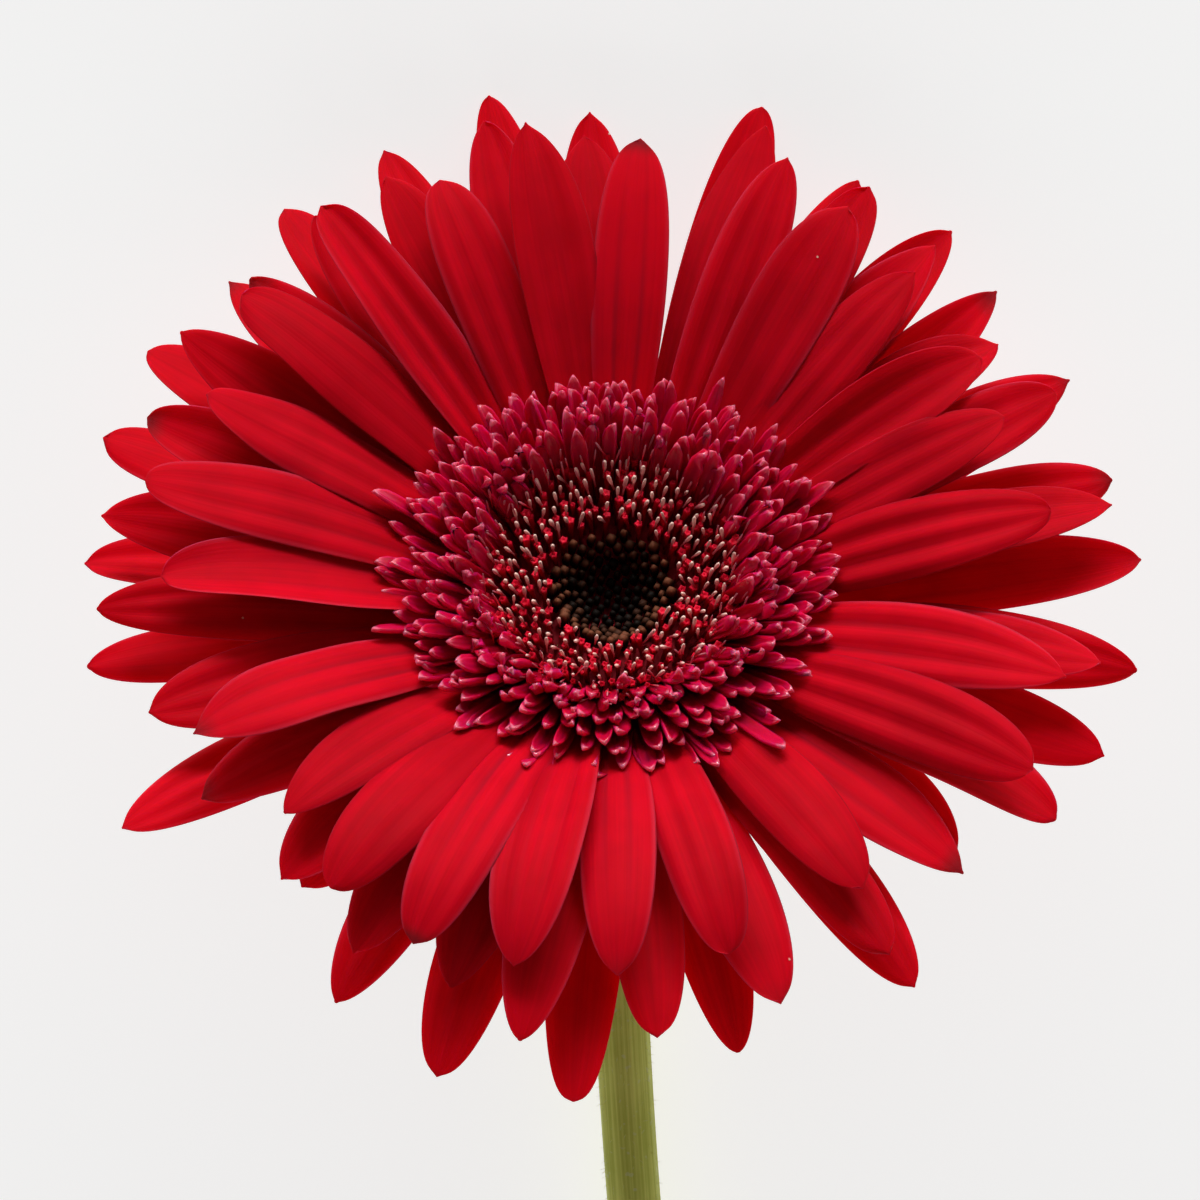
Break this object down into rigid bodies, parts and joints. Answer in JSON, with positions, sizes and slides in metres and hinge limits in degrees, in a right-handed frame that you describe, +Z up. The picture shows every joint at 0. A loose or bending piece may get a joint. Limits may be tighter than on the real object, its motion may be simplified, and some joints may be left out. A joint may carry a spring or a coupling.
{
  "type": "cut gerbera flower",
  "caption": "Single cut gerbera lying down: red ray petals in layered rows, a ring of short florets, a dark eye, green bracts and a long bare stem.",
  "frame": {"origin": "on the table, under the middle of the bounding box of the whole flower as it lies", "axes": "+Z up from the table; +Y along the table from the head to the cut end of the stem; the face of the flower looks up and towards -Y; +X across, so that a viewer above the face who sees the stem at the bottom has +X at the left"},
  "size_m": [0.11, 0.3318, 0.0711],
  "materials": {
    "petals_front": "matte",
    "petals_middle": "matte",
    "petals_lower": "matte",
    "trans_florets": "satin",
    "disc_florets": "satin",
    "disc_buds": "matte",
    "bracts": "matte",
    "stem": "matte"
  },
  "bodies": {
    "root": {"stem_and_receptacle": "stem", "outer_bracts": "bracts", "inner_bracts": "bracts", "petal_lower_01": "petals_lower", "petal_lower_02": "petals_lower", "petal_lower_03": "petals_lower", "petal_lower_04": "petals_lower", "petal_lower_05": "petals_lower", "petal_lower_06": "petals_lower", "petal_lower_07": "petals_lower", "petal_lower_08": "petals_lower", "petal_lower_09": "petals_lower", "petal_lower_10": "petals_lower", "petal_lower_11": "petals_lower", "petal_lower_12": "petals_lower", "petal_lower_13": "petals_lower", "petal_lower_14": "petals_lower", "petal_lower_15": "petals_lower", "petal_lower_16": "petals_lower", "petal_lower_17": "petals_lower", "petal_lower_18": "petals_lower", "petal_lower_19": "petals_lower", "petal_lower_20": "petals_lower", "petal_lower_21": "petals_lower", "petal_lower_22": "petals_lower", "petal_lower_23": "petals_lower", "petal_lower_24": "petals_lower", "petal_lower_25": "petals_lower", "petal_lower_26": "petals_lower", "petals_middle": "petals_middle", "petal_front_01": "petals_front", "petal_front_02": "petals_front", "petal_front_03": "petals_front", "petal_front_04": "petals_front", "petal_front_05": "petals_front", "petal_front_06": "petals_front", "petal_front_07": "petals_front", "petal_front_08": "petals_front", "petal_front_09": "petals_front", "petal_front_10": "petals_front", "petal_front_11": "petals_front", "petal_front_12": "petals_front", "petal_front_13": "petals_front", "petal_front_14": "petals_front", "petal_front_15": "petals_front", "petal_front_16": "petals_front", "petal_front_17": "petals_front", "petal_front_18": "petals_front", "petal_front_19": "petals_front", "petal_front_20": "petals_front", "petal_front_21": "petals_front", "petal_front_22": "petals_front", "petal_front_23": "petals_front", "petal_front_24": "petals_front", "trans_florets_outer": "trans_florets", "trans_florets_middle": "trans_florets", "trans_florets_inner": "trans_florets", "disc_florets": "disc_florets", "disc_buds": "disc_buds"}
  },
  "joints": []
}
